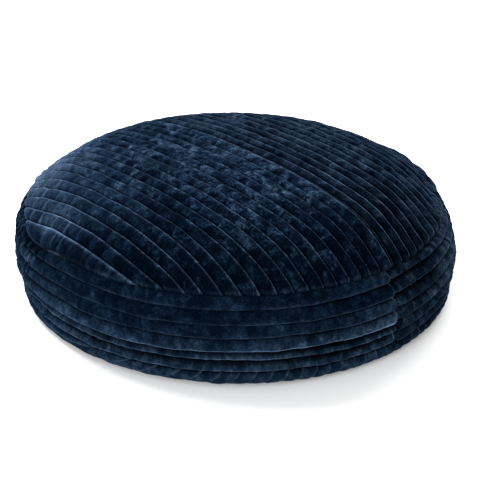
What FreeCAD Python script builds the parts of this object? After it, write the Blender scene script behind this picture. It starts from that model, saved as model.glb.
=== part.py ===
import FreeCAD, Part

import math
import os

# Round floor cushion: a wide-wale plush cover zipped over a filled inner casing.
# +Z is up, the origin is the centre of the flat underside. The wales of the top and
# bottom panels and their centre seams run along X, the butt seams of the side band are
# at both ends of the X axis, and the zip is in the bottom seam round the back, at +Y.

# ---------------------------------------------------------------- driving dimensions, mm
cushion_radius = 400.0
cushion_height = 258.0
crown_radius = 1500.0
crown_edge_radius = 240.0
top_seam_radius = 372.0
top_seam_height = 169.5
bulge_height = 75.0
bottom_seam_radius = 395.0
bottom_seam_height = 28.0
floor_contact_radius = 374.0

cover_thickness = 5.0
seam_depth = 1.6
seam_width = 3.2
panel_clearance = 0.1
centre_seam_setback = 1.5

casing_inset = 10.0
casing_thickness = 1.2
casing_joint_gap = 0.2
casing_top_joint_height = 168.0
casing_bottom_joint_height = 30.0
closing_seam_width = 4.0
closing_seam_start = 200.0
closing_seam_sweep = 45.0
filling_gap = 0.3

zip_start = 60.0
zip_end = 145.0
zip_opening_half_width = 6.0
tape_inset = 5.6
tape_thickness = 0.8
tape_half_gap = 0.8
tape_width = 15.0
coil_radius = 1.5
coil_ring_radius = 391.4
coil_offset = 1.9
moving_clearance = 0.3

slider_angle = 143.3
slider_length = 12.0
slider_wall = 1.3
slider_plate = 1.6
bail_radius = 0.9
bail_span = 9.0
bail_post = 1.8
pull_eye_radius = 2.6
pull_eye_hole = 1.2
pull_width = 4.6
pull_thickness = 1.6
pull_length = 18.0
pull_tip_radius = 2.2

stop_sweep = 0.7
stop_half_height = 4.0
stop_inner_radius = 390.7
stop_thickness = 2.4

label_angle = 151.0
label_width = 25.0
label_thickness = 0.6
label_standoff = 1.6
label_bottom = 5.0

reach = 1000.0
FULL_TURN = 360.0
UP = FreeCAD.Vector(0, 0, 1)
ORIGIN = FreeCAD.Vector(0, 0, 0)

os.makedirs("parts", exist_ok=True)


# ---------------------------------------------------------------- geometry helpers
def at(radius, height):
    """A point of the X-Z half plane that revolves about Z."""
    return FreeCAD.Vector(radius, 0, height)


def arc(centre, radius, start, end):
    """The shorter arc about centre from start to end."""
    middle = (start + end) * 0.5 - centre
    middle.normalize()
    return Part.Arc(start, centre + middle * radius, end).toShape()


def turned(face, start, sweep):
    """Revolves a half-plane face about Z from the angle start through sweep, degrees."""
    solid = face.copy()
    solid.rotate(ORIGIN, UP, start)
    return solid.revolve(ORIGIN, UP, sweep)


def ring_block(inner, outer, bottom, top, start=0.0, sweep=FULL_TURN):
    """A rectangular ring, or a part of one."""
    corners = [at(inner, bottom), at(outer, bottom), at(outer, top), at(inner, top)]
    wire = Part.makePolygon(corners + corners[:1])
    return turned(Part.Face(wire), start, sweep)


def slab(x_low, x_high, y_low, y_high, z_low, z_high):
    """A block between two corners."""
    size = (x_high - x_low, y_high - y_low, z_high - z_low)
    return Part.makeBox(*size, FreeCAD.Vector(x_low, y_low, z_low))


def save(node, shape):
    """Writes one node. Several solids stay separate solids of that node."""
    shape.exportStep("parts/" + node + ".step")


# ---------------------------------------------------------------- the cushion's outline
def upright_radius(ring_radius, ring_height):
    """Radius of the side arc through a seam ring that stands upright at the bulge."""
    inset = cushion_radius - ring_radius
    rise = ring_height - bulge_height
    return (inset**2 + rise**2) / (2 * inset)


def outer_crossing(centre_a, radius_a, centre_b, radius_b):
    """Where two circles of the half plane cross, on the side away from the axis."""
    between = centre_b - centre_a
    gap = between.Length
    between.normalize()
    along = (radius_a**2 - radius_b**2 + gap**2) / (2 * gap)
    off = math.sqrt(radius_a**2 - along**2)
    foot = centre_a + between * along
    sideways = FreeCAD.Vector(between.z, 0, -between.x)
    return max((foot + sideways * off, foot - sideways * off), key=lambda point: point.x)


# The crown and the shoulder share a normal, and the shoulder ends at the top seam.
crown_drop = crown_radius - math.sqrt(crown_radius**2 - crown_edge_radius**2)
crown_centre = at(0, cushion_height - crown_radius)
crown_edge = at(crown_edge_radius, cushion_height - crown_drop)
crown_inward = (crown_centre - crown_edge).normalize()
top_seam = at(top_seam_radius, top_seam_height)
shoulder_chord = top_seam - crown_edge
shoulder_radius = shoulder_chord.Length**2 / (2 * shoulder_chord.dot(crown_inward))
shoulder_centre = crown_edge + crown_inward * shoulder_radius

# The side is upright at its widest ring, the bulge.
upper_radius = upright_radius(top_seam_radius, top_seam_height)
upper_centre = at(cushion_radius - upper_radius, bulge_height)
lower_radius = upright_radius(bottom_seam_radius, bottom_seam_height)
lower_centre = at(cushion_radius - lower_radius, bulge_height)

# The underside rolls from the bottom seam down to the flat that lies on the floor.
roll_reach = bottom_seam_radius - floor_contact_radius
roll_radius = (roll_reach**2 + bottom_seam_height**2) / (2 * bottom_seam_height)
roll_centre = at(floor_contact_radius, roll_radius)


def envelope(inset):
    """The cushion's whole volume, taken in by inset all over."""
    apex = at(0, cushion_height - inset)
    edge = crown_edge + crown_inward * inset
    top = outer_crossing(
        shoulder_centre, shoulder_radius - inset, upper_centre, upper_radius - inset
    )
    bulge = at(cushion_radius - inset, bulge_height)
    bottom = outer_crossing(
        lower_centre, lower_radius - inset, roll_centre, roll_radius - inset
    )
    contact = at(floor_contact_radius, inset)
    foot = at(0, inset)
    edges = [
        arc(crown_centre, crown_radius - inset, apex, edge),
        arc(shoulder_centre, shoulder_radius - inset, edge, top),
        arc(upper_centre, upper_radius - inset, top, bulge),
        arc(lower_centre, lower_radius - inset, bulge, bottom),
        arc(roll_centre, roll_radius - inset, bottom, contact),
        Part.makeLine(contact, foot),
        Part.makeLine(foot, apex),
    ]
    return turned(Part.Face(Part.Wire(edges)), 0, FULL_TURN)


def layer(outer_inset, inner_inset):
    """The skin between two insets."""
    return envelope(outer_inset).cut(envelope(inner_inset))


# ---------------------------------------------------------------- where the seams lie
half_seam = seam_width / 2


def top_seam_block(half_width):
    """A ring across the top seam, square to the cover there."""
    outward = FreeCAD.Vector(1, 0, 1).normalize()
    along = FreeCAD.Vector(1, 0, -1).normalize()
    point = at(top_seam_radius, top_seam_height)
    depth = 2 * cover_thickness
    corners = [
        point + outward * side_out + along * side_along
        for side_out, side_along in (
            (depth, -half_width),
            (depth, half_width),
            (-depth, half_width),
            (-depth, -half_width),
        )
    ]
    return turned(Part.Face(Part.makePolygon(corners + corners[:1])), 0, FULL_TURN)


def bottom_seam_block(half_width, start=0.0, sweep=FULL_TURN):
    """A ring across the bottom seam, or a part of one."""
    low = bottom_seam_height - half_width
    high = bottom_seam_height + half_width
    inner = bottom_seam_radius - 2 * cover_thickness
    return ring_block(inner, cushion_radius + cover_thickness, low, high, start, sweep)


def centre_seam_block(half_width):
    """A straight slot along X, through the top, both ends of the side and the bottom."""
    return slab(-reach, reach, -half_width, half_width, -reach, reach)


def region(piece):
    """The part of the cover that a piece belongs to, from the height of its middle."""
    height = piece.CenterOfMass.z
    if height > top_seam_height:
        return "top"
    return "side" if height > bottom_seam_height else "bottom"


# ---------------------------------------------------------------- cover
def cover_panels():
    """The six panels of the cover: two each for the top, the side and the bottom."""
    skin = layer(0, cover_thickness)
    slots = [
        top_seam_block(half_seam),
        bottom_seam_block(half_seam),
        centre_seam_block(half_seam),
        bottom_seam_block(zip_opening_half_width, zip_start, zip_end - zip_start),
    ]
    names = {"top": "top_panel_", "side": "side_band_", "bottom": "bottom_panel_"}
    panels = {}
    for piece in skin.cut(slots).Solids:
        half = "front" if piece.CenterOfMass.y < 0 else "back"
        panels[names[region(piece)] + half] = piece
    return panels


def top_centre_seam(half_width):
    """The seam over the crown: a bent strip of the section, as wide as the seam."""
    seam_line = (top_seam - shoulder_centre).normalize()
    back_off = FreeCAD.Rotation(FreeCAD.Vector(0, 1, 0), -centre_seam_setback)
    end_line = back_off.multVec(seam_line)
    edges = []
    corners = []
    for inset in (seam_depth, cover_thickness):
        end = shoulder_centre + end_line * (shoulder_radius - inset)
        edge = crown_edge + crown_inward * inset
        apex = at(0, cushion_height - inset)
        far_edge = at(-edge.x, edge.z)
        far_end = at(-end.x, end.z)
        far_centre = at(-shoulder_centre.x, shoulder_centre.z)
        edges.append(arc(shoulder_centre, shoulder_radius - inset, end, edge))
        edges.append(Part.Arc(edge, apex, far_edge).toShape())
        edges.append(arc(far_centre, shoulder_radius - inset, far_edge, far_end))
        corners.append((end, far_end))
    for outer, inner in zip(*corners):
        edges.append(Part.makeLine(outer, inner))
    section = Part.Face(Part.Wire(Part.__sortEdges__(edges)))
    section.translate(FreeCAD.Vector(0, -half_width, 0))
    return section.extrude(FreeCAD.Vector(0, 2 * half_width, 0))


def cover_seams():
    """The sewn seams: a strip of joined edges and thread, sunk between the panels."""
    strip = layer(seam_depth, cover_thickness)
    filled = half_seam - panel_clearance
    zip_sweep = zip_end - zip_start
    top_ring = top_seam_block(half_seam)
    bottom_ring = bottom_seam_block(half_seam)
    top_edge = strip.common(top_seam_block(filled))
    sewn_arc = bottom_seam_block(filled, zip_end, FULL_TURN - zip_sweep)
    bottom_edge = strip.common(sewn_arc)
    cross = strip.common(centre_seam_block(filled))
    seams = {
        "top_centre_seam": top_centre_seam(filled),
        "top_edge_seam": top_edge,
        "bottom_edge_seam": bottom_edge,
    }
    for piece in cross.cut([top_ring, bottom_ring]).Solids:
        if region(piece) == "bottom":
            seams["bottom_centre_seam"] = piece
        elif region(piece) == "side":
            side = "right" if piece.CenterOfMass.x > 0 else "left"
            seams["side_seam_" + side] = piece
    return seams


def care_label():
    """A blank folded label, caught in the bottom seam and hanging down outside it."""
    sweep = math.degrees(label_width / cushion_radius)
    root = bottom_seam_radius - seam_depth + panel_clearance
    face_radius = bottom_seam_radius + label_standoff
    start = label_angle - sweep / 2
    half = label_thickness / 2
    outer = face_radius + label_thickness
    low = bottom_seam_height - half
    high = bottom_seam_height + half
    shelf = ring_block(root, outer, low, high, start, sweep)
    drop = ring_block(face_radius, outer, label_bottom, low, start, sweep)
    return shelf.fuse(drop).removeSplitter()


# ---------------------------------------------------------------- zip
def zip_tape(side):
    """One tape, flat against the inside of the panel that it is sewn to."""
    near = bottom_seam_height + side * tape_half_gap
    far = bottom_seam_height + side * tape_width
    low, high = sorted((near, far))
    skin = layer(tape_inset, tape_inset + tape_thickness)
    sweep = zip_end - zip_start
    inner = floor_contact_radius
    return skin.common(ring_block(inner, cushion_radius, low, high, zip_start, sweep))


def zip_coil(side):
    """One row of the coil, as the round bead that it fills."""
    centre = at(coil_ring_radius, bottom_seam_height + side * coil_offset)
    circle = Part.makeCircle(coil_radius, centre, FreeCAD.Vector(0, 1, 0))
    face = Part.Face(Part.Wire(circle))
    return turned(face, zip_start + stop_sweep, zip_end - zip_start - 2 * stop_sweep)


def zip_stop(start):
    """A clamped end stop that closes one end of the chain."""
    low = bottom_seam_height - stop_half_height
    high = bottom_seam_height + stop_half_height
    sweep = stop_sweep - math.degrees(panel_clearance / cushion_radius)
    outer = stop_inner_radius + stop_thickness
    return ring_block(stop_inner_radius, outer, low, high, start, sweep)


coil_outer_radius = coil_ring_radius + coil_radius
plate_inner_radius = coil_outer_radius + moving_clearance
plate_outer_radius = plate_inner_radius + slider_plate
flange_inner_offset = coil_offset + coil_radius + moving_clearance
bail_ring_radius = plate_outer_radius + moving_clearance + pull_eye_radius
slider_sweep = math.degrees(slider_length / coil_ring_radius)


def slider_body():
    """A channel that rides on both coils, with a straight bail bar on two posts."""
    start = slider_angle - slider_sweep / 2
    half_height = flange_inner_offset + slider_wall
    low = bottom_seam_height - half_height
    high = bottom_seam_height + half_height
    flange_reach = coil_ring_radius - coil_radius / 2
    plate = ring_block(plate_inner_radius, plate_outer_radius, low, high, start, slider_sweep)
    walls = [
        ring_block(flange_reach, plate_inner_radius, wall, wall + slider_wall, start, slider_sweep)
        for wall in (low, high - slider_wall)
    ]
    sink = slider_plate / 2
    bar_start = FreeCAD.Vector(bail_ring_radius, -bail_span / 2, bottom_seam_height)
    bar = Part.makeCylinder(bail_radius, bail_span, bar_start, FreeCAD.Vector(0, 1, 0))
    posts = [
        slab(
            plate_outer_radius - sink,
            bail_ring_radius + bail_radius,
            side * (bail_span / 2 - bail_post / 2) - bail_post / 2,
            side * (bail_span / 2 - bail_post / 2) + bail_post / 2,
            bottom_seam_height - bail_radius,
            bottom_seam_height + bail_radius,
        )
        for side in (-1, 1)
    ]
    bail = bar.fuse(posts)
    bail.rotate(ORIGIN, UP, slider_angle)
    return plate.fuse(walls + [bail]).removeSplitter()


def pull_tab():
    """The tab, hanging straight down from its eye on the bail bar."""
    half = pull_thickness / 2
    middle = at(bail_ring_radius, bottom_seam_height)
    eye_start = middle - FreeCAD.Vector(0, pull_width / 2, 0)
    across = FreeCAD.Vector(0, 1, 0)
    eye = Part.makeCylinder(pull_eye_radius, pull_width, eye_start, across)
    hole = Part.makeCylinder(pull_eye_hole, pull_width, eye_start, across)
    tip = bottom_seam_height - pull_length + pull_tip_radius
    tab = slab(
        bail_ring_radius - half,
        bail_ring_radius + half,
        -pull_width / 2,
        pull_width / 2,
        tip,
        bottom_seam_height,
    )
    foot_start = FreeCAD.Vector(bail_ring_radius - half, 0, tip)
    foot_radius = pull_width / 2
    foot = Part.makeCylinder(foot_radius, pull_thickness, foot_start, FreeCAD.Vector(1, 0, 0))
    pull = eye.fuse([tab, foot]).cut(hole).removeSplitter()
    pull.rotate(ORIGIN, UP, slider_angle)
    return pull


# ---------------------------------------------------------------- inner cushion
def casing_panels():
    """The inner casing's three panels and the seam that closes it after filling."""
    skin = layer(casing_inset, casing_inset + casing_thickness)
    joints = []
    for height in (casing_top_joint_height, casing_bottom_joint_height):
        half = casing_joint_gap / 2
        joints.append(ring_block(0, cushion_radius, height - half, height + half))
    low = casing_bottom_joint_height - closing_seam_width / 2
    high = casing_bottom_joint_height + closing_seam_width / 2
    inner = floor_contact_radius - casing_inset
    closing = ring_block(
        inner, cushion_radius, low, high, closing_seam_start, closing_seam_sweep
    )
    closing_seam = skin.common(
        ring_block(
            inner,
            cushion_radius,
            low + panel_clearance,
            high - panel_clearance,
            closing_seam_start,
            closing_seam_sweep,
        )
    )
    cut_skin = skin.cut(joints + [closing])
    stacked = sorted(cut_skin.Solids, key=lambda piece: piece.CenterOfMass.z)
    names = ["casing_bottom", "casing_side", "casing_top"]
    panels = dict(zip(names, stacked))
    panels["casing_closing_seam"] = closing_seam
    return panels


# ---------------------------------------------------------------- write every node
nodes = cover_panels()
nodes.update(cover_seams())
nodes.update(casing_panels())
nodes["filling"] = envelope(casing_inset + casing_thickness + filling_gap)
nodes["care_label"] = care_label()
nodes["zip_tape_upper"] = zip_tape(1)
nodes["zip_tape_lower"] = zip_tape(-1)
nodes["zip_coil_upper"] = zip_coil(1)
nodes["zip_coil_lower"] = zip_coil(-1)
nodes["zip_bottom_stop"] = zip_stop(zip_start)
nodes["zip_top_stop"] = zip_stop(zip_end - stop_sweep)
nodes["zip_slider"] = slider_body()
nodes["zip_pull"] = pull_tab()

for node, shape in sorted(nodes.items()):
    save(node, shape)
    box = shape.optimalBoundingBox(False)
    low = f"{box.XMin:.1f} {box.YMin:.1f} {box.ZMin:.1f}"
    high = f"{box.XMax:.1f} {box.YMax:.1f} {box.ZMax:.1f}"
    volume = shape.Volume / 1000
    print(f"{node}: {len(shape.Solids)} solid, {volume:.1f} cm3, {low} to {high}")
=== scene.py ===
import math

import bpy
import numpy as np
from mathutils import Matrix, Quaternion, Vector


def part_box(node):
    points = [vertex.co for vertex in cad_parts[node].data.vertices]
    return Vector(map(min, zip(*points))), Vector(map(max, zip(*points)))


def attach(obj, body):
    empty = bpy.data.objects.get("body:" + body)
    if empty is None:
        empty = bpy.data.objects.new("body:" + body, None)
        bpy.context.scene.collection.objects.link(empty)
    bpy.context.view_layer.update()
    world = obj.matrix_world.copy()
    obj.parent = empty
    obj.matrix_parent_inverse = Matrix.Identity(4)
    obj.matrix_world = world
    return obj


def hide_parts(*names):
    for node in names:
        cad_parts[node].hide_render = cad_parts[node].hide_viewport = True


# Round floor cushion in navy wide-wale plush. The cover is six panels whose wales are
# modelled one by one: on the top and underside they run straight along X, and on the
# side band they run round. Everything is in metres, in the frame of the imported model.

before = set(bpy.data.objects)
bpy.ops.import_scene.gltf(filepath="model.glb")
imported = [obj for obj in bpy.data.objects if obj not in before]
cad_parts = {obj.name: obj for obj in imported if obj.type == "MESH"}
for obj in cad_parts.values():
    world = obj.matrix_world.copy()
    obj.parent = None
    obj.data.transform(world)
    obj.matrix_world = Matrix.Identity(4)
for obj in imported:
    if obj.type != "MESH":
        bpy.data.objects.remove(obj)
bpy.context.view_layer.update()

# ---------------- sizes, metres
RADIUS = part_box("side_band_front")[1].x
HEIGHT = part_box("top_panel_front")[1].z
ZIP_Z = (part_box("zip_coil_lower")[0].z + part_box("zip_coil_upper")[1].z) / 2

CROWN_RADIUS = 1.5
CROWN_EDGE = 0.240
TOP_SEAM = (0.372, 0.1695)
BULGE_Z = 0.075
BOTTOM_SEAM = (0.395, ZIP_Z)
CONTACT = 0.374
SEAM_DROP = 0.002

# The filling sits a little to one side, so the dome's top isn't over the middle.
LEAN = np.array([0.021, -0.035])
LEAN_EASE = 0.08
LEAN_ROUNDS = 14

# Distances of the wale grooves from the centre seam, front half and back half.
FRONT_WALES = [0.0, 0.0256, 0.0485, 0.0712, 0.0942, 0.1171, 0.1405, 0.1638, 0.187, 0.2106]
FRONT_WALES += [0.234, 0.2565, 0.279, 0.302, 0.324, 0.346, 0.3665, 0.389, 0.411]
BACK_WALES = [0.0, 0.0086, 0.0300, 0.0528, 0.0757, 0.1, 0.1254, 0.1497, 0.1740, 0.1985]
BACK_WALES += [0.2228, 0.2495, 0.2762, 0.3, 0.324, 0.348, 0.372, 0.396]
UNDER_PITCH = 0.023
UNDER_GROOVE = 0.0018

# Where the side band's wales part, as shares of its width, along the front length, at
# the right end of the back length, and along the rest of the back length.
FRONT_GAPS = [0.0, 0.180, 0.368, 0.532, 0.724, 0.832, 1.0]
BACK_GAPS_NEAR = [0.0, 0.134, 0.332, 0.506, 0.684, 0.852, 1.0]
BACK_GAPS_FAR = [0.0, 0.168, 0.334, 0.500, 0.668, 0.834, 1.0]

WALE_RISE = 0.0068
SEAM_RISE = 0.0085
CALM_DEPTH = 0.003
TOP_SEAM_RISE = 0.0054
SEAM_SOFTNESS = 0.013
TOP_SEAM_SOFTNESS = 0.009
SEAM_LAP = 0.0035
TURN_IN = 0.016
LIP_TURN_IN = 0.0051
ZIP_FROM, ZIP_TO = math.radians(60.0), math.radians(145.0)
ZIP_RAMP = math.radians(2.0)
LABEL_AT = math.radians(151.0)
CALM_MARGIN, CALM_RAMP = math.radians(9.0), math.radians(5.0)
LIP_OPENING = 0.0062
SEAM_SPLIT = 0.0001

# The outline is sampled evenly, and its normals are blurred across its tangent points.
ARC_STEP = 0.0005
BLUR_REACH, BLUR_SPREAD = 24, 8.0

# Spots round the cushion are an azimuth and a half width, in degrees. At the left end the
# side is pinched: the top seam is dragged down and drawn in, and the wales bead.
PINCH = (-106, 20)
PINCH_DRAG = 0.015
# The colour is darkened at SHUT, in the pinched valley: painted shade.
SHUT = (-105, 12)
SHUT_VALLEY = (-105, 26.4)
SHUT_DEPTH = 0.0055
LEFT_BULGE = (-130, 40)
LEFT_BULGE_RISE = 0.006
BEADS = (-122, 32)
BEAD = 0.024
BEAD_TOP = 0.040
BEAD_DEPTH = 0.0058
SIDE_BEAD_DEPTH = 0.0064


# ---------------- the outline
def arc_run(centre, start, end):
    """Points along the arc about centre from start to end, and their outward normals."""
    low = math.atan2(start[1] - centre[1], start[0] - centre[0])
    high = math.atan2(end[1] - centre[1], end[0] - centre[0])
    reach = math.dist(centre, start)
    turn = np.linspace(low, high, max(12, int(reach * abs(high - low) / 0.001)))
    normals = np.stack([np.cos(turn), np.sin(turn)], 1)
    return np.array(centre) + reach * normals, normals


def upright_centre(point):
    """Centre of the side arc through a seam ring that stands upright at the bulge."""
    inset = RADIUS - point[0]
    rise = point[1] - BULGE_Z
    return (RADIUS - (inset**2 + rise**2) / (2 * inset), BULGE_Z)


def outline():
    """The half section from the crown to the middle of the underside, by arc length."""
    crown_centre = (0.0, HEIGHT - CROWN_RADIUS)
    drop = CROWN_RADIUS - math.sqrt(CROWN_RADIUS**2 - CROWN_EDGE**2)
    edge = np.array([CROWN_EDGE, HEIGHT - drop])
    inward = np.array(crown_centre) - edge
    inward /= np.linalg.norm(inward)
    chord = np.array(TOP_SEAM) - edge
    shoulder_centre = edge + inward * (chord @ chord) / (2 * chord @ inward)
    roll = BOTTOM_SEAM[0] - CONTACT
    roll_radius = (roll**2 + BOTTOM_SEAM[1] ** 2) / (2 * BOTTOM_SEAM[1])
    bulge = (RADIUS, BULGE_Z)
    runs = [
        arc_run(crown_centre, (0.0, HEIGHT), edge),
        arc_run(tuple(shoulder_centre), edge, TOP_SEAM),
        arc_run(upright_centre(TOP_SEAM), TOP_SEAM, bulge),
        arc_run(upright_centre(BOTTOM_SEAM), bulge, BOTTOM_SEAM),
        arc_run((CONTACT, roll_radius), BOTTOM_SEAM, (CONTACT, 0.0)),
    ]
    flat = np.linspace(CONTACT, 0.0, 300)
    runs.append((np.stack([flat, 0 * flat], 1), np.stack([0 * flat, 0 * flat - 1], 1)))
    points = np.concatenate([run[0] for run in runs])
    normals = np.concatenate([run[1] for run in runs])
    along = np.concatenate([[0], np.cumsum(np.hypot(*np.diff(points, axis=0).T))])
    ends = np.cumsum([len(run[0]) for run in runs]) - 1
    even = np.linspace(0, along[-1], int(along[-1] / ARC_STEP))
    columns = [np.interp(even, along, column) for column in (*points.T, *normals.T)]
    width = np.exp(-0.5 * (np.arange(-BLUR_REACH, BLUR_REACH + 1) / BLUR_SPREAD) ** 2)
    for index in (2, 3):
        padded = np.pad(columns[index], BLUR_REACH, mode="edge")
        columns[index] = np.convolve(padded, width / width.sum(), mode="valid")
    size = np.hypot(columns[2], columns[3])
    columns[2:] = [columns[2] / size, columns[3] / size]
    return even, columns, along[ends]


ARC, (ARC_R, ARC_Z, ARC_NR, ARC_NZ), ARC_ENDS = outline()
S_TOP, _, S_BOTTOM, S_CONTACT = ARC_ENDS[1:5]
S_TOP = S_TOP + SEAM_DROP
S_END = ARC[-1]
UNDER_RADIUS = S_END - S_BOTTOM
ARC_CAP = ARC < S_TOP + 0.030


def leaning(z):
    """How far the dome has moved over at a height, from 0 at the bulge to 1 at the top."""
    up = np.clip((z - BULGE_Z) / (HEIGHT - BULGE_Z), 0, 1)
    return up * up * (1 + LEAN_EASE) / (up + LEAN_EASE)


def place(turn, along, lift=0.0, slide=0.0):
    """Points at an azimuth and an arc length, raised off the outline by lift."""
    here = along + slide
    r, z, nr, nz = (np.interp(here, ARC, c) for c in (ARC_R, ARC_Z, ARC_NR, ARC_NZ))
    over = leaning(z)
    reach = r + lift * nr
    x = reach * np.cos(turn) + LEAN[0] * over
    y = reach * np.sin(turn) + LEAN[1] * over
    return np.stack([x, y, z + lift * nz], -1)


def facing(turn, along):
    """Outward directions there."""
    nr, nz = (np.interp(along, ARC, c) for c in (ARC_NR, ARC_NZ))
    return np.stack([nr * np.cos(turn), nr * np.sin(turn), nz], -1)


def on_dome(x, y):
    """Azimuth and arc length of the point of the dome over a place in plan."""
    z = np.full(np.shape(x), HEIGHT)
    for _ in range(LEAN_ROUNDS):
        over = leaning(z)
        dx, dy = x - LEAN[0] * over, y - LEAN[1] * over
        reach = np.hypot(dx, dy)
        z = np.interp(reach, ARC_R[ARC_CAP], ARC_Z[ARC_CAP])
    return np.arctan2(dy, dx), np.interp(reach, ARC_R[ARC_CAP], ARC[ARC_CAP])


# ---------------- shaping helpers
def ease(value):
    """Smooth step from 0 to 1."""
    value = np.clip(value, 0, 1)
    return value * value * (3 - 2 * value)


def rounding(distance, width):
    """A quarter round: 0 with a steep start at distance 0, and 1 from width onwards."""
    near = 1 - np.clip(distance / width, 0, 1)
    return np.sqrt(np.clip(1 - near**2, 0, 1))


def wale(lie, softness=0.55, lean=1.35):
    """The rise of one wale across its width, fuller on the side its pile lies towards."""
    return np.clip(1 - np.abs(2 * lie**lean - 1) ** 2.2, 0, 1) ** softness


LATTICE = 64


def noise(u, v, seed):
    """Smooth seeded noise, about -1 to 1, with one bump per unit. It repeats."""
    values = np.random.default_rng(seed).uniform(-1, 1, (LATTICE, LATTICE))
    iu, iv = np.floor(u).astype(int), np.floor(v).astype(int)
    fu, fv = ease(u - iu), ease(v - iv)
    corner = lambda a, b: values[(iu + a) % LATTICE, (iv + b) % LATTICE]
    low = corner(0, 0) * (1 - fu) + corner(1, 0) * fu
    high = corner(0, 1) * (1 - fu) + corner(1, 1) * fu
    return 1.3 * (low * (1 - fv) + high * fv)


def around(turn, count, seed):
    """Seeded noise round the cushion that closes on itself, with count bumps."""
    across = count / (2 * math.pi)
    middle = LATTICE // 2 - 1
    return noise(middle + across * np.cos(turn), middle + across * np.sin(turn), seed)


def angle_off(turn, middle):
    """How far an azimuth is from another, either way round."""
    return np.abs((turn - middle + math.pi) % (2 * math.pi) - math.pi)


def near_spot(turn, spot):
    """1 in the middle of a spot, falling to 0 at its ends."""
    middle, width = (math.radians(value) for value in spot)
    return ease(1 - angle_off(turn, middle) / width)


def zip_zone(turn):
    """1 along the zip and under the label, 0 elsewhere."""
    turn = turn % (2 * math.pi)
    opened = np.minimum(turn - (ZIP_FROM - ZIP_RAMP), (ZIP_TO + ZIP_RAMP) - turn) / ZIP_RAMP
    return ease(opened)


def calm_zone(turn):
    """1 where the zip or the label needs the cover to keep still, 0 elsewhere."""
    middle = (ZIP_FROM + LABEL_AT) / 2
    half = (LABEL_AT - ZIP_FROM) / 2
    return ease((half + CALM_MARGIN - angle_off(turn, middle)) / CALM_RAMP)


def seam_level(turn):
    """Arc length of the top seam, which is dragged down where the side is pinched."""
    return S_TOP + PINCH_DRAG * near_spot(turn, PINCH)


def seam_depth(turn):
    """How deep the top seam's valley is: deeper at the pinched end."""
    return TOP_SEAM_RISE + SHUT_DEPTH * near_spot(turn, SHUT_VALLEY)


def seam_ring():
    """Points of the top seam all round, in plan."""
    turn = np.linspace(-math.pi, math.pi, 4001)
    return place(turn, seam_level(turn))[:, :2]


RING_PLAN = seam_ring()


# ---------------- stuffing by cloth
def linked(name, data):
    """A new object in the scene."""
    thing = bpy.data.objects.new(name, data)
    bpy.context.scene.collection.objects.link(thing)
    return thing


SIM_STEP = 0.010
SIM_COLUMNS = 220
SIM_FRAMES = 22
SIM_START = 0.03
SIM_SMOOTHING = 5
SIM_SHARE = 0.4
SIM_CAP = 0.009
SIM_INSET = 0.004
SIM_ROUGHNESS = 0.0013
CLOTH = dict(
    quality=6,
    mass=0.3,
    tension_stiffness=25,
    compression_stiffness=8,
    shear_stiffness=2,
    bending_stiffness=0.15,
    air_damping=2,
    use_pressure=True,
    uniform_pressure_force=4,
    shrink_min=-0.05,
    vertex_group_mass="held",
)


def stuffed():
    """The cover under pressure: how far it moves along its normals, row by row."""
    rows = int((S_CONTACT - SIM_START) / SIM_STEP)
    levels = np.linspace(SIM_START, S_CONTACT, rows)
    turns = np.linspace(0, 2 * math.pi, SIM_COLUMNS, endpoint=False)
    along, turn = np.meshgrid(levels, turns, indexing="ij")
    start = place(turn, along, -SIM_INSET)
    rough = np.random.default_rng(11).normal(0, SIM_ROUGHNESS, start.shape)
    index = np.arange(rows * SIM_COLUMNS).reshape(rows, SIM_COLUMNS)
    nxt = np.roll(index, -1, axis=1)
    quads = np.stack([index[:-1], index[1:], nxt[1:], nxt[:-1]], -1).reshape(-1, 4)
    mesh = bpy.data.meshes.new("stuffing")
    mesh.from_pydata((start + rough).reshape(-1, 3).tolist(), [], quads.tolist())
    body = linked("stuffing", mesh)
    held = body.vertex_groups.new(name="held")
    for level in (SIM_START, S_TOP, S_BOTTOM, S_CONTACT):
        row = int(np.argmin(np.abs(levels - level)))
        held.add([int(i) for i in index[row]], 1.0, "REPLACE")
    cloth = body.modifiers.new("cloth", "CLOTH")
    for key, value in CLOTH.items():
        setattr(cloth.settings, key, value)
    cloth.settings.effector_weights.gravity = 0
    cloth.collision_settings.use_collision = False
    scene = bpy.context.scene
    for step in range(1, SIM_FRAMES + 1):
        scene.frame_set(step)
    graph = bpy.context.evaluated_depsgraph_get()
    result = body.evaluated_get(graph).data
    moved = np.empty(len(result.vertices) * 3, np.float32)
    result.vertices.foreach_get("co", moved)
    moved = moved.reshape(start.shape) - start
    scene.frame_set(1)
    bpy.data.objects.remove(body)
    out = (moved * facing(turn, along)).sum(-1)
    out -= 0.8 * out.mean(axis=1, keepdims=True)
    out = SIM_CAP * np.tanh(out / SIM_CAP)
    for _ in range(SIM_SMOOTHING):
        out = (np.roll(out, 1, axis=1) + 2 * out + np.roll(out, -1, axis=1)) / 4
        out[1:-1] = (out[:-2] + 2 * out[1:-1] + out[2:]) / 4
    return levels, np.concatenate([out, out[:, :1]], axis=1)


SWELL = stuffed()


def swell(turn, along):
    """The stuffing's push at an azimuth and an arc length."""
    if SWELL is None:
        return 0 * along
    levels, out = SWELL
    row = np.interp(along, levels, np.arange(len(levels)))
    column = (turn % (2 * math.pi)) / (2 * math.pi) * SIM_COLUMNS
    r0 = np.clip(np.floor(row).astype(int), 0, len(levels) - 2)
    c0 = np.clip(np.floor(column).astype(int), 0, SIM_COLUMNS - 1)
    fr, fc = row - r0, column - c0
    low = out[r0, c0] * (1 - fc) + out[r0, c0 + 1] * fc
    high = out[r0 + 1, c0] * (1 - fc) + out[r0 + 1, c0 + 1] * fc
    inside = ease((along - SIM_START) / 0.08) * ease((S_CONTACT - along) / 0.02)
    return SIM_SHARE * (low * (1 - fr) + high * fr) * inside


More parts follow.
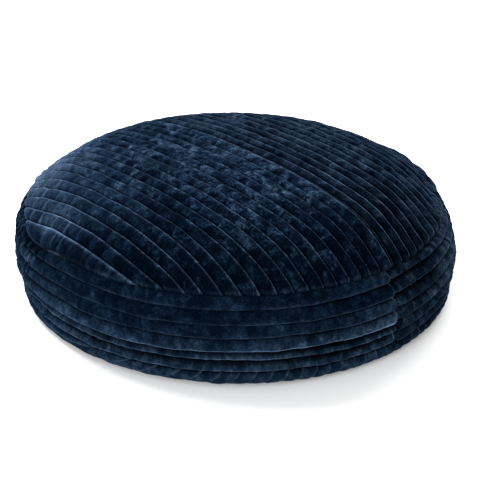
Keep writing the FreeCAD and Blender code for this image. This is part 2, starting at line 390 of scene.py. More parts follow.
# ---------------- mesh building
def add_mesh(name, points, faces):
    """A smooth mesh object from arrays of points and quads."""
    mesh = bpy.data.meshes.new(name)
    mesh.vertices.add(len(points))
    mesh.vertices.foreach_set("co", np.ascontiguousarray(points, np.float32).ravel())
    mesh.loops.add(faces.size)
    mesh.loops.foreach_set("vertex_index", faces.astype(np.int32).ravel())
    mesh.polygons.add(len(faces))
    corners = faces.shape[1]
    starts = np.arange(len(faces), dtype=np.int32) * corners
    mesh.polygons.foreach_set("loop_start", starts)
    mesh.update(calc_edges=True)
    mesh.validate()
    mesh.polygons.foreach_set("use_smooth", np.ones(len(mesh.polygons), bool))
    return linked(name, mesh)


def grid_faces(rows, columns, around_too=False):
    """Quads of a grid, closed along its columns if around_too."""
    index = np.arange(rows * columns).reshape(rows, columns)
    if around_too:
        index = np.concatenate([index, index[:, :1]], axis=1)
    quads = [index[:-1, :-1], index[:-1, 1:], index[1:, 1:], index[1:, :-1]]
    return np.stack(quads, -1).reshape(-1, 4)


def put(thing, coordinates, **values):
    """Stores what the materials read, and sets the piece on the cushion's body."""
    mesh = thing.data
    layer = mesh.uv_layers.new(name="cloth")
    corner = np.empty(len(mesh.loops), np.int32)
    mesh.loops.foreach_get("vertex_index", corner)
    flat = coordinates.reshape(-1, 2)[corner]
    layer.data.foreach_set("uv", flat.astype(np.float32).ravel())
    for label, value in values.items():
        stored = mesh.attributes.new(label, "FLOAT", "POINT")
        stored.data.foreach_set("value", value.astype(np.float32).ravel())
    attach(thing, "cushion")
    return thing


def cloth_panel(name, turn, along, lift, slide, cloth, flip, values):
    """One panel: its grid, with the edges turned in to the seams."""
    pad = lambda grid: np.pad(grid + 0 * along, 1, mode="edge")
    values = {label: pad(value) for label, value in values.items()}
    cloth = np.stack([pad(cloth[..., 0]), pad(cloth[..., 1])], -1)
    turn, lift, slide, along = map(pad, (turn, lift, slide, along))
    border = np.ones(turn.shape, bool)
    border[1:-1, 1:-1] = False
    lip = zip_zone(turn) * ease(1 - np.abs(along - S_BOTTOM) / 0.02)
    tucked = -(TURN_IN + (LIP_TURN_IN - TURN_IN) * lip)
    lift = np.where(border, tucked, lift)
    points = place(turn, along, lift, slide)
    faces = grid_faces(*turn.shape)
    if flip:
        faces = faces[:, ::-1]
    return put(add_mesh(name, points.reshape(-1, 3), faces), cloth, **values)


def painted_sheen_line(lie, at=0.955, reach=0.175):
    """How strongly the painted sheen highlight shows across a wale: most by its far edge."""
    places = [0, at - reach, at - 0.3 * reach, at, at + 0.045, at + 0.11]
    return np.interp(lie, places, [0, 0.03, 0.35, 1.35, 0.6, 0])


ROW_CLEARANCE = 0.0004


def wale_parts(steps):
    """Places across a wale from 0 to 1, closer together by its grooves."""
    return (1 - np.cos(np.linspace(0, math.pi, steps + 1))) / 2


def wale_rows(gaps, limit, steps):
    """Rows across the wales: position, wale number and place in the wale."""
    parts = wale_parts(steps)
    rows = []
    for number, (low, high) in enumerate(zip(gaps, gaps[1:])):
        for part in parts[:-1]:
            position = low + part * (high - low)
            if position < limit - ROW_CLEARANCE:
                rows.append((position, number, part))
    last = np.searchsorted(gaps, limit) - 1
    rows.append((limit, last, (limit - gaps[last]) / (gaps[last + 1] - gaps[last])))
    return np.array(rows)


def crushed(u, v):
    """Small dents where the pile lies over, longer across the wales than along them."""
    broad = noise(u / 0.016, v / 0.038, 21)
    fine = noise(u / 0.007 + 9, v / 0.012 + 5, 22)
    return 0.0006 * broad + 0.0003 * fine


def hump(value, middle, width):
    """A smooth hump, 1 at the middle."""
    return np.exp(-(((value - middle) / width) ** 2))


def beaded(number, u, pitch):
    """Creases across the wales, and the painted highlights on the crescents beside them."""
    swing = u / pitch + 0.37 * number + 0.5 * noise(u / (1.5 * pitch), number + 0.5, 54)
    phase = swing - np.floor(swing)
    away = np.minimum(phase, 1 - phase)
    return np.clip(1 - away / 0.2, 0, 1) ** 1.5, hump(phase, 0.16, 0.12)


# ---------------- top and underside
# Broad paler and darker places by the top seam, partly pile that has lain over or stayed
# upright and partly painted light and shade: azimuth and half width in degrees, reach in from
# the top seam, and how pale.
TOP_WEAR_AND_LIGHT = [
    (-70, 62, 0.15, -0.090),
    (-28, 100, 0.30, -0.100),
    (-40, 75, 0.10, -0.090),
    (-140, 36, 0.21, 0.310),
    (150, 85, 0.09, 0.420),
    (45, 40, 0.05, 0.090),
    (8, 15, 0.05, -0.120),
    (-160, 60, 0.25, 0.060),
]
# The same away from the seam, partly wear and partly painted light: x, y, width, and how pale.
PLAN_WEAR_AND_LIGHT = [
    (-0.060, -0.355, 0.06, 0.24),
    (-0.070, -0.24, 0.06, 0.07),
    (-0.045, -0.15, 0.06, 0.03),
    (0.12, -0.28, 0.07, -0.05),
    (0.27, 0.02, 0.16, -0.07),
]
TOP_COLUMNS = 270
WALE_STEPS = 13
UNDER_STEPS = 10
TOP_BEADS = (-114, 54)
LEFT_SMOOTH = (-120, 90)
FRONT_SOFTNESS, BACK_SOFTNESS = 0.42, 0.60

# At the far right the back half's wales stand in knuckles over the seam.
FAR_RIGHT = (85, 62)
FAR_SOFTNESS = 0.7
KNUCKLE, FAR_KNUCKLE = 0.0016, 0.0065
FAR_GROOVE = 0.0060
FAR_LAP = 0.004


def chord_columns(count):
    """Places along a chord from -1 to 1, closer together near its ends."""
    even = np.linspace(-1, 1, count)
    return 0.45 * even + 0.55 * np.sin(even * math.pi / 2)


def side_crossing(side, y, end):
    """Where a line of constant y meets the top seam, at its left or right end."""
    tip = int(np.argmax(side * RING_PLAN[:, 1]))
    this_end = (RING_PLAN[:, 0] - RING_PLAN[tip, 0]) * end >= 0
    plan = RING_PLAN[(side * RING_PLAN[:, 1] > -0.02) & this_end]
    order = np.argsort(side * plan[:, 1])
    return np.interp(side * y, side * plan[order, 1], plan[order, 0])


def left_swell(turn, along):
    """A soft bulge at the pinched left end."""
    return LEFT_BULGE_RISE * near_spot(turn, LEFT_BULGE) * hump(along, S_TOP + 0.055, 0.070)


def end_bows(reach):
    """How far the front wales' left and right ends curve in towards the middle."""
    left = 0.015 * ease((reach - 0.08) / 0.17)
    right = 0.008 * ease(reach / 0.10) + 0.007 * ease((reach - 0.29) / 0.05)
    return left, right


def top_half(name, gaps, side):
    """Half of the top, with straight wales along X that end at the top seam."""
    front = side < 0
    limit = float((side * RING_PLAN[:, 1]).max()) - SEAM_SPLIT
    rows = wale_rows(gaps, limit, WALE_STEPS)
    position, number, part = (rows[:, i][:, None] for i in range(3))
    spread = chord_columns(TOP_COLUMNS)[None, :]
    reach = np.maximum(position, SEAM_SPLIT)
    bows = [front * bow * ease((limit - reach) / 0.03) for bow in end_bows(reach)]
    left, right = (
        side_crossing(side, side * (reach - bow), end) for bow, end in zip(bows, (-1, 1))
    )
    x = (left + right) / 2 + spread * (right - left) / 2
    bowed = bows[0] * np.clip(-spread, 0, 1) ** 3 + bows[1] * np.clip(spread, 0, 1) ** 3
    y = side * (reach - bowed)
    turn, along = on_dome(x, y)
    from_seam = np.clip(seam_level(turn) - along, 0, None)
    inner = ease(from_seam / 0.03) * ease(np.abs(y) / 0.03)
    y = y + inner * 0.0009 * noise(x / 0.05, y / 0.023, 31)
    turn, along = on_dome(x, y)
    seam = seam_level(turn)
    for border in ((-1, slice(None)), (slice(None), 0), (slice(None), -1)):
        along[border] = seam[border]
    from_seam = np.clip(seam - along, 0, None)
    widths = np.diff(gaps)[number.astype(int)]
    full = np.minimum(1, widths / 0.018)
    lie = (1 - part if front else part) + 0 * x
    far_right = near_spot(turn, FAR_RIGHT) * ease(1 - from_seam / 0.08)
    rise = wale(lie, FRONT_SOFTNESS if front else BACK_SOFTNESS + FAR_SOFTNESS * far_right) * full
    edge = rounding(from_seam, TOP_SEAM_SOFTNESS)
    valley = seam_depth(turn)
    lift = edge * (valley - WALE_RISE * (1 - rise)) - valley
    lift = lift + 0.0030 * hump(y, 0.0, 0.006) * edge
    knuckle = KNUCKLE + FAR_KNUCKLE * far_right
    lift = lift + knuckle * hump(from_seam, 0.013, 0.010) * rise
    lift = lift - FAR_GROOVE * far_right * (1 - rise) * edge
    lift = lift + left_swell(turn, along) * edge
    zone = near_spot(turn, TOP_BEADS) * ease(1.8 - from_seam / 0.06) * front
    bead, crescent_highlight = (value * zone for value in beaded(number, x, BEAD_TOP))
    lift = lift + edge * rise * (crushed(x, y) - BEAD_DEPTH * bead)
    lift = lift + swell(turn, along) * edge
    lap = (SEAM_LAP + FAR_LAP * far_right) * rise * hump(from_seam, 0.0, 0.009)
    # tip is a painted sheen highlight: a line along each wale's far edge, and a short one where the
    # wales end at the seam.
    glow = (1.5 if front else 3.6) * (0.8 + 0.4 * noise(x / 0.06, y / 0.03, 33))
    sheen_lines = painted_sheen_line(lie) if front else painted_sheen_line(lie, 0.82, 0.12)
    tip = sheen_lines * glow * edge + 0.2 * hump(from_seam, 0.005, 0.0025) * rise
    # Paler and darker pile, partly wear and partly painted light: a painted highlight on the crescents
    # beside the creases, and the listed spots below.
    wear_and_light = (0.020 if front else 0.045) + 0.07 * hump(y, 0.0, 0.013) + 0.16 * crescent_highlight
    # Painted shade in the pinched valley by the seam.
    wear_and_light = wear_and_light - 0.34 * near_spot(turn, SHUT) * hump(from_seam, 0.0, 0.020)
    for at_x, at_y, width, amount in PLAN_WEAR_AND_LIGHT:
        wear_and_light = wear_and_light + amount * hump(np.hypot(x - at_x, y - at_y), 0.0, width)
    for middle, width, reach, amount in TOP_WEAR_AND_LIGHT:
        wear_and_light = wear_and_light + amount * near_spot(turn, (middle, width)) * ease(1 - from_seam / reach)
    smooth = near_spot(turn, LEFT_SMOOTH) * ease(1.3 - from_seam / 0.2)
    mottle = (1.10 if front else 0.85) - 0.68 * smooth
    # The stored rise shades the colour down into the grooves and at the seam: painted shade, steeper on
    # the back half.
    rise = (rise if front else rise**1.5) * edge
    values = dict(rise=rise, tip=tip, wear_and_light=wear_and_light, mottle=mottle, strand=number)
    return cloth_panel(name, turn, along, lift, lap, np.stack([x, y], -1), not front, values)


def under_edge(turn):
    """Distance of the underside's edge from its middle, along the cloth."""
    return UNDER_RADIUS - SEAM_SPLIT - LIP_OPENING * zip_zone(turn)


def under_half(name, side):
    """Half of the underside, flat on the floor and rolled up to the bottom seam."""
    gaps = [0.0] + [UNDER_PITCH * (i + 0.5) for i in range(20)]
    limit = float(under_edge(np.array(side * math.pi / 2))) - 0.0006
    rows = wale_rows(gaps, limit, UNDER_STEPS)
    position, number, part = (rows[:, i][:, None] for i in range(3))
    spread = chord_columns(TOP_COLUMNS)[None, :]
    y = side * np.maximum(position, SEAM_SPLIT) + 0 * spread
    x = spread * np.sqrt(np.clip(UNDER_RADIUS**2 - y**2, 1e-8, None))
    for _ in range(12):
        reach = under_edge(np.arctan2(y, x))
        x = spread * np.sqrt(np.clip(reach**2 - y**2, 1e-8, None))
    turn = np.arctan2(y, x)
    flat = np.hypot(x, y)
    along = S_END - flat
    from_seam = np.clip(under_edge(turn) - flat, 0, None)
    calm = calm_zone(turn)
    depth = SEAM_RISE + (CALM_DEPTH - SEAM_RISE) * calm
    on_floor = ease((flat - CONTACT + 0.01) / 0.02)
    groove = UNDER_GROOVE * (1 - 0.5 * calm)
    lie = (part if side > 0 else 1 - part) + 0 * x
    rise = 0.6 + 0.4 * wale(lie)
    edge = rounding(from_seam, SEAM_SOFTNESS)
    lift = edge * (depth - groove * (1 - wale(lie))) - depth
    lift = lift + on_floor * (1 - calm) * edge * rise * crushed(x, y)
    lift = lift + swell(turn, along) * edge * (1 - calm) * on_floor
    # Painted shade: the pile is darker close to the bottom seam, under the side band.
    wear_and_light = 0.05 + 0.09 * ease(from_seam / 0.016)
    # tip is a faint painted sheen highlight along each wale.
    tip = 0.4 * painted_sheen_line(lie)
    # The stored rise is painted shade in the grooves and at the seam.
    values = dict(rise=rise * edge, tip=tip, wear_and_light=wear_and_light, mottle=0.5, strand=number)
    return cloth_panel(name, turn, along, lift, 0 * lift, np.stack([x, y], -1), side < 0, values)


# ---------------- side band
# Painted sheen highlight: strength per wale, front and back, and its shift on lower front wales.
FRONT_GLOW = [0.2, 0.3, 0.40, 2.4, 1.6, 1.5]
BACK_GLOW = [1.2, 1.4, 1.3, 1.2, 1.2, 1.2]
LOW_SHEEN_SHIFT = 0.065
# Painted light and shade on the side: how much paler the back length and each front wale are.
BACK_PAINTED_LIGHT = 0.110
FRONT_PAINTED_LIGHT = [-0.05, -0.05, -0.01, 0.08, 0.08, 0.10]
FRONT_SOFT = [0.5, 0.5, 0.55, 0.6, 2.2, 2.0]
FRONT_LEAN = [1.35, 1.35, 1.35, 1.35, 2.6, 2.2]
FRONT_CALM = [0.6, 0.6, 0.6, 0.3, 0.0, 0.0]
BACK_SOFT = 1.4
BACK_LEAN = 1.35
BACK_EXTRA = 0.0042
BACK_DROOP = 0.0045
BACK_UNDER = 0.0035
FRONT_FULL = [0.0, 0.0008, 0.0014, 0.0040, -0.0025, -0.0010]
FRONT_EXTRA = [0.0, -0.0036, -0.0034, -0.0030, 0.0065, 0.0045, 0.002]
DROOP = [0.0, 0.0008, 0.0010, 0.0030, 0.0020, 0.0022]
BAND_COLUMNS = 560
LOBE = 0.007
END_RISE = 0.008
FRONT_FOLD = (-70, 95)
BACK_FOLD = 0.25
LEFT_END = (-122, 50)
LEFT_SOFTNESS, LEFT_GROOVE, LEFT_DROOP = 0.7, 0.0050, 0.003
FRONT_CALM_SPOT = (-55, 62)
# Where the side's wales bead: the spot, how many wales from the top, and how strongly.
SIDE_BEADS = [((8, 9), 2, 0.5), (BEADS, 3, 1.0), ((58, 24), 2, 0.7), ((-62, 15), 1, 0.45)]
# Paler and darker spots, partly wear and partly painted light and shade: on the front
# length, the spot, first and last wale, how pale.
SIDE_WEAR_AND_LIGHT = [
    (True, (-5, 16), 2, 3, 0.16),
    (True, (-5, 16), 0, 0, 0.15),
    (True, (-42, 7), 0, 0, 0.12),
    (True, (-106, 7), 1, 1, 0.2),
    (False, (30, 20), 0, 5, 0.05),
    (False, (9, 12), 0, 2, -0.10),
]


def band_gaps(turn, front):
    """Arc lengths of the wales' grooves at an azimuth, from the top seam down."""
    if front:
        shares = [np.full(np.shape(turn), share) for share in FRONT_GAPS]
    else:
        far = ease((turn - math.radians(4)) / math.radians(35))
        shares = [a + (b - a) * far for a, b in zip(BACK_GAPS_NEAR, BACK_GAPS_FAR)]
    pinch = near_spot(turn, PINCH)
    seed = 40 if front else 60
    gaps = []
    for number, share in enumerate(shares):
        inner = 0.0 if number in (0, 6) else 1.0
        sway = 0.0014 * around(turn, 26, seed + number)
        sway = sway + 0.0009 * around(turn, 80, seed + 9 + number)
        sway = sway + 0.0028 * pinch * around(turn, 90, seed + 20 + number // 2)
        level = seam_level(turn)
        gaps.append(level + share * (S_BOTTOM - level) + inner * sway)
    gaps[0] = gaps[0] + SEAM_SPLIT
    gaps[6] = gaps[6] - SEAM_SPLIT - LIP_OPENING * zip_zone(turn)
    return gaps


def side_length(name, front):
    """One length of the side band: six wales that run round to the butt seams."""
    low, high = (-math.pi, 0.0) if front else (0.0, math.pi)
    parts = wale_parts(WALE_STEPS)
    number = np.append(np.repeat(np.arange(6), WALE_STEPS), 5)[:, None]
    part = np.append(np.tile(parts[:-1], 6), 1.0)[:, None]
    spread = (chord_columns(BAND_COLUMNS)[None, :] + 1) / 2
    lobe = LOBE / RADIUS * (0.25 + 0.75 * wale(part))
    if front:
        start, end = low - lobe, high + lobe
    else:
        start, end = low + 0 * lobe - 0.002, high + 0 * lobe + 0.002
    turn = start + (end - start) * spread
    gaps = np.stack(band_gaps(turn[0], front))
    column = np.arange(BAND_COLUMNS)[None, :]
    upper, lower = gaps[number, column], gaps[number + 1, column]
    along = upper + part * (lower - upper)
    left_end = near_spot(turn, LEFT_END)
    soft = (np.array(FRONT_SOFT)[number] if front else BACK_SOFT) + LEFT_SOFTNESS * left_end
    rise = wale(part, soft, np.array(FRONT_LEAN)[number] if front else BACK_LEAN)
    from_end = np.minimum(turn - start, end - turn) * RADIUS
    low_calm = calm_zone(turn) * ease((along - (S_BOTTOM - 0.045)) / 0.02)
    fold = near_spot(turn, FRONT_FOLD) if front else BACK_FOLD
    deep = np.array([0.0] + [WALE_RISE] * 5 + [SEAM_RISE])
    extra = np.array(FRONT_EXTRA)
    groove_up = deep[number] + extra[number] * fold + (number == 0) * seam_depth(turn)
    groove_low = deep[number + 1] + extra[number + 1] * fold
    groove = groove_up * (1 - part) + groove_low * part
    groove = groove + (LEFT_GROOVE * left_end if front else BACK_EXTRA)
    groove = groove + (CALM_DEPTH - groove) * low_calm * (part > 0.5) * (number == 5)
    edge = rounding(from_end, 0.011 if front else 0.016)
    under = 0.0 if front else BACK_UNDER
    lift = edge * (END_RISE + under - groove * (1 - rise)) - END_RISE - under
    lift = lift + fold * np.array(FRONT_FULL)[number] * edge * rise
    lift = lift + left_swell(turn, along) * edge
    u, v = turn * RADIUS, along
    scallop = np.where(number >= 4, 0.0009, 0.0004) * noise(u / 0.009, v / 0.02, 52)
    pucker = -0.0022 * near_spot(turn, PINCH) * np.abs(noise(u / 0.012, v / 0.03, 53))
    zone = 0.0
    for spot, count, share in SIDE_BEADS:
        zone = zone + share * near_spot(turn, spot) * (number < count)
    bead, crescent_highlight = beaded(number, u, BEAD)
    pucker = pucker - SIDE_BEAD_DEPTH * bead * zone
    lift = lift + edge * rise * (crushed(u, v) + scallop + pucker) * (1 - low_calm)
    lift = lift + swell(turn, along) * edge * (1 - low_calm)
    droop = np.array(DROOP)[number] * fold + LEFT_DROOP * left_end if front else BACK_DROOP
    slide = droop * rise * ease(part * 1.4) * edge * (1 - low_calm)
    # tip is a painted sheen highlight: along each wale's lower edge, moved down on the lower front
    # wales, and round the front wales' ends at the butt seams.
    glow = np.array(FRONT_GLOW if front else BACK_GLOW)[number]
    glow = glow * (0.8 + 0.5 * noise(u / 0.05, v / 0.02, 57))
    low_sheen_shift = LOW_SHEEN_SHIFT * (number >= 3) * front
    tip = painted_sheen_line(np.minimum(part + low_sheen_shift, 1), 0.925) * glow
    tip = tip + 0.8 * front * hump(from_end, 0.0035, 0.0018)
    level = np.array(FRONT_CALM)[number] * near_spot(turn, FRONT_CALM_SPOT) * front
    # Painted light and shade per wale, and a painted highlight on the crescents beside the beads'
    # creases.
    wear_and_light = (np.array(FRONT_PAINTED_LIGHT)[number] if front else BACK_PAINTED_LIGHT) + 0.22 * crescent_highlight * zone
    # Painted shade and light: each lower front wale darker at its top, under the wale above, and paler
    # towards its lower edge.
    wear_and_light = wear_and_light + 0.20 * front * (number >= 3) * (part - 0.5)
    for at_front, spot, first, last, amount in SIDE_WEAR_AND_LIGHT:
        if at_front == front:
            wear_and_light = wear_and_light + amount * near_spot(turn, spot) * (number >= first) * (number <= last)
    # Painted shade in the pinched valley, at the top of the first wale.
    pinch_shade = near_spot(turn, SHUT) * (number == 0) * front * ease(1.6 - 1.6 * part)
    wear_and_light = wear_and_light - 0.30 * pinch_shade
    # The stored rise is painted shade in the grooves and at the ends, fainter on upper front wales.
    rise = (rise + (1 - rise) * level) * edge
    mottle = 0.56 if front else 0.85
    values = dict(rise=rise, tip=tip, wear_and_light=wear_and_light, mottle=mottle, strand=number)
    return cloth_panel(name, turn, along, lift, slide, np.stack([u, v], -1), False, values)


# ---------------- sewing
THREAD = 0.0009
STITCH = 0.0042
STITCH_GAP = 0.0012
# Along a stitch: places as shares of its length, and its thickness there.
STITCH_FORM = np.array([(-0.5, 0.25), (-0.36, 0.85), (0.0, 1.0), (0.36, 0.85), (0.5, 0.25)])


def seam_line(name, centres, normals):
    """A row of stitches along a line, each a small rounded bead of thread."""
    steps = np.concatenate([[0], np.cumsum(np.linalg.norm(np.diff(centres, axis=0), axis=1))])
    count = max(2, int(steps[-1] / (STITCH + STITCH_GAP)))
    middles = (np.arange(count) + 0.5) * steps[-1] / count
    at = lambda table, where: np.stack([np.interp(where, steps, c) for c in table.T], -1)
    middle, up = at(centres, middles), at(normals, middles)
    ahead = at(centres, middles + STITCH / 2) - at(centres, middles - STITCH / 2)
    ahead /= np.linalg.norm(ahead, axis=1, keepdims=True)
    aside = np.cross(up, ahead)
    ring = np.linspace(0, 2 * math.pi, 6, endpoint=False)
    where, girth = (column[None, :, None, None] for column in STITCH_FORM.T)
    offset = where * STITCH * ahead[:, None, None, :]
    circle = np.cos(ring)[None, None, :, None] * aside[:, None, None, :]
    circle = circle + np.sin(ring)[None, None, :, None] * up[:, None, None, :]
    bow = (0.25 - where**2) * THREAD * up[:, None, None, :]
    points = middle[:, None, None, :] + offset + girth * THREAD / 2 * circle + bow
    each = len(STITCH_FORM) * len(ring)
    faces = grid_faces(len(STITCH_FORM), len(ring), True)[None]
    faces = faces + (np.arange(count) * each)[:, None, None]
    thing = add_mesh(name, points.reshape(-1, 3), faces.reshape(-1, 4))
    cloth = np.repeat(middles, each)
    return put(thing, np.stack([cloth, 0 * cloth], -1))


def ring_seam(name, level, sink, start=0.0, sweep=2 * math.pi):
    """The sewing round a seam ring, in the bottom of the valley between two panels."""
    turn = np.linspace(start, start + sweep, 900)
    along = level(turn) if callable(level) else np.full(turn.shape, level)
    lift = -sink(turn) if callable(sink) else np.full(turn.shape, -sink)
    return seam_line(name, place(turn, along, lift), facing(turn, along))


def centre_seam(name, top):
    """The sewing across the top or the underside, under the meeting grooves."""
    if top:
        half = TOP_SEAM[0] * 0.975
        x = np.linspace(-half, half, 600)
        turn, along = on_dome(x, 0 * x)
        sink = WALE_RISE + 0.0018
    else:
        half = UNDER_RADIUS * 0.98
        x = np.linspace(-half, half, 600)
        turn, along = np.arctan2(0 * x, x), S_END - np.abs(x)
        sink = 0.0034
    points = place(turn, along, 0 * x - sink)
    return seam_line(name, points, facing(turn, along))


def butt_seam(name, turn):
    """The sewing down an end of the side band, under the wales' round ends."""
    along = np.linspace(S_TOP + 0.004, S_BOTTOM - 0.004, 200)
    where = np.full(along.shape, turn)
    points = place(where, along, 0 * along - END_RISE - 0.002)
    return seam_line(name, points, facing(where, along))


# ---------------- inner cushion
CASING_INSET = 0.0205
CASING_TOP_END = S_TOP + 0.004
CASING_LOW_START = S_BOTTOM - 0.006
SHELL_STEP = 0.008
SHELL_COLUMNS = 300
SHELL_MIDDLE = 0.002


def round_shell(name, first, last, inset):
    """A skin of the inner cushion between two levels, softly uneven."""
    levels = np.linspace(first, last, max(4, int((last - first) / SHELL_STEP)))
    turns = np.linspace(0, 2 * math.pi, SHELL_COLUMNS, endpoint=False)
    along, turn = np.meshgrid(levels, turns, indexing="ij")
    waves = 0.0008 * around(turn, 40, 71) + 0.0005 * noise(turn * 30, along / 0.02, 72)
    lift = -inset + waves * ease((S_CONTACT - along) / 0.02)
    points = place(turn, along, lift)
    faces = grid_faces(len(levels), SHELL_COLUMNS, True)
    thing = add_mesh(name, points.reshape(-1, 3), faces)
    flat = np.stack([turn * RADIUS, along], -1)
    return put(thing, flat)


# ---------------- zip
COIL_RING = 0.3914
COIL_WIRE = 0.00045
COIL_PITCH = 0.0016
COIL_INSET = 0.013
COIL_STEPS = 9
WIRE_SIDES = 5


def coil(name, side):
    """One side of the zip's coil: a round wire wound along the tape's edge."""
    low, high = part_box("zip_coil_upper" if side > 0 else "zip_coil_lower")
    centre_z = (low.z + high.z) / 2
    wound = (high.z - low.z) / 2 - COIL_WIRE
    start, end = ZIP_FROM + COIL_INSET, ZIP_TO - COIL_INSET
    turns = int((end - start) * COIL_RING / COIL_PITCH)
    step = np.linspace(0, turns, turns * COIL_STEPS)
    turn = start + (end - start) * step / turns
    spin = 2 * math.pi * step

    def ring_point(out, up):
        reach = COIL_RING + out
        return np.stack([reach * np.cos(turn), reach * np.sin(turn), centre_z + up], -1)

    centres = ring_point(wound * np.cos(spin), side * wound * np.sin(spin))
    ahead = np.gradient(centres, axis=0)
    ahead /= np.linalg.norm(ahead, axis=1, keepdims=True)
    inward = ring_point(0 * turn, 0 * turn) - centres
    inward -= (inward * ahead).sum(1, keepdims=True) * ahead
    inward /= np.linalg.norm(inward, axis=1, keepdims=True)
    aside = np.cross(ahead, inward)
    circle = np.linspace(0, 2 * math.pi, WIRE_SIDES, endpoint=False)
    wire = np.cos(circle)[None, :, None] * inward[:, None]
    wire = wire + np.sin(circle)[None, :, None] * aside[:, None]
    points = centres[:, None] + COIL_WIRE * wire
    faces = grid_faces(len(centres), WIRE_SIDES, True)
    flat = np.stack([np.repeat(turn, WIRE_SIDES), np.tile(circle, len(turn))], -1)
    return put(add_mesh(name, points.reshape(-1, 3), faces), flat)


# ---------------- materials
def set_inputs(made, **values):
    """Sets a node's own inputs by name, with _ for a space."""
    for key, value in values.items():
        made.inputs[key.replace("_", " ")].default_value = value


def shader(
    name, roughness, specular, sheen=0.0, sheen_roughness=0.3, tint=(1, 1, 1), metallic=0.0
):
    """A new material: its node tree, and its shader with the plain values set."""
    material = bpy.data.materials.new(name)
    material.use_nodes = True
    tree = material.node_tree
    surface = tree.nodes["Principled BSDF"]
    set_inputs(surface, Roughness=roughness, Specular_IOR_Level=specular, Metallic=metallic)
    set_inputs(surface, Sheen_Weight=sheen, Sheen_Roughness=sheen_roughness, Sheen_Tint=(*tint, 1))
    return material, tree, surface


def node(tree, kind, **settings):
    """A new node with its settings."""
    made = tree.nodes.new(kind)
    for key, value in settings.items():
        setattr(made, key, value)
    return made


def stored(tree, name, output="Fac"):
    """What the mesh stores under a name."""
    return node(tree, "ShaderNodeAttribute", attribute_name=name).outputs[output]


def scaled_cloth(tree, scale, apart=0.0):
    """Cloth coordinates, in metres, stretched by scale, and set apart from wale to wale."""
    where = node(tree, "ShaderNodeUVMap", uv_map="cloth")
    mapping = node(tree, "ShaderNodeMapping")
    set_inputs(mapping, Scale=scale)
    tree.links.new(where.outputs["UV"], mapping.inputs["Vector"])
    if not apart:
        return mapping.outputs["Vector"]
    step = node(tree, "ShaderNodeCombineXYZ")
    tree.links.new(sums(tree, "MULTIPLY", stored(tree, "strand"), apart), step.inputs["Z"])
    added = node(tree, "ShaderNodeVectorMath", operation="ADD")
    tree.links.new(mapping.outputs["Vector"], added.inputs[0])
    tree.links.new(step.outputs["Vector"], added.inputs[1])
    return added.outputs["Vector"]


def noise_at(tree, vector, scale, detail=2.0, rough=0.5, distortion=0.0):
    """A noise texture's value at a vector."""
    made = node(tree, "ShaderNodeTexNoise")
    set_inputs(made, Scale=scale, Detail=detail, Roughness=rough, Distortion=distortion)
    tree.links.new(vector, made.inputs["Vector"])
    return made.outputs["Fac"]


def ramp(tree, value, stops):
    """A colour ramp of (position, colour) stops."""
    made = node(tree, "ShaderNodeValToRGB")
    elements = made.color_ramp.elements
    while len(elements) < len(stops):
        elements.new(0.5)
    for element, (position, colour) in zip(elements, stops):
        element.position = position
        element.color = (*colour, 1)
    tree.links.new(value, made.inputs["Fac"])
    return made.outputs["Color"]


def mixed(tree, factor, low, high, mode="MIX"):
    """Two colours mixed by a factor. Each may be a socket or a value."""
    made = node(tree, "ShaderNodeMix", data_type="RGBA", blend_type=mode)
    for socket, value in ((0, factor), (6, low), (7, high)):
        if hasattr(value, "node"):
            tree.links.new(value, made.inputs[socket])
        else:
            made.inputs[socket].default_value = value if socket == 0 else (*value, 1)
    return made.outputs[2]


def sums(tree, operation, first, second):
    """A Math node of two sockets or numbers."""
    made = node(tree, "ShaderNodeMath", operation=operation)
    for index, value in enumerate((first, second)):
        if hasattr(value, "node"):
            tree.links.new(value, made.inputs[index])
        else:
            made.inputs[index].default_value = value
    return made.outputs[0]


def bumped(tree, surface, height, strength, distance):
    """Joins a height to the shader through a bump."""
    made = node(tree, "ShaderNodeBump")
    set_inputs(made, Strength=strength, Distance=distance)
    tree.links.new(height, made.inputs["Height"])
    tree.links.new(made.outputs["Normal"], surface.inputs["Normal"])


SHEEN = (0.13, 0.25)
SHEEN_TINT = (0.33, 0.55, 1.0)
# Colours of the painted sheen highlight, from darker to paler pile.
SHEEN_LINE_DARK = (0.007, 0.014, 0.028)
SHEEN_LINE_LIGHT = (0.056, 0.092, 0.148)
# The pile's colours, from lying deepest to palest, and where each is reached. The pale end
# stands both for worn pile and for painted light.
PILE_COLOURS = [
    (0.30, (0.0004, 0.0014, 0.0040)),
    (0.47, (0.0012, 0.0040, 0.0100)),
    (0.62, (0.0043, 0.0112, 0.0232)),
    (0.80, (0.0210, 0.0375, 0.0640)),
    (1.0, (0.0650, 0.0900, 0.1350)),
]
# How the light falls off down into a groove.
PILE_SHADE = [(0.0, (0.03,) * 3), (0.3, (0.32,) * 3), (0.62, (1,) * 3)]


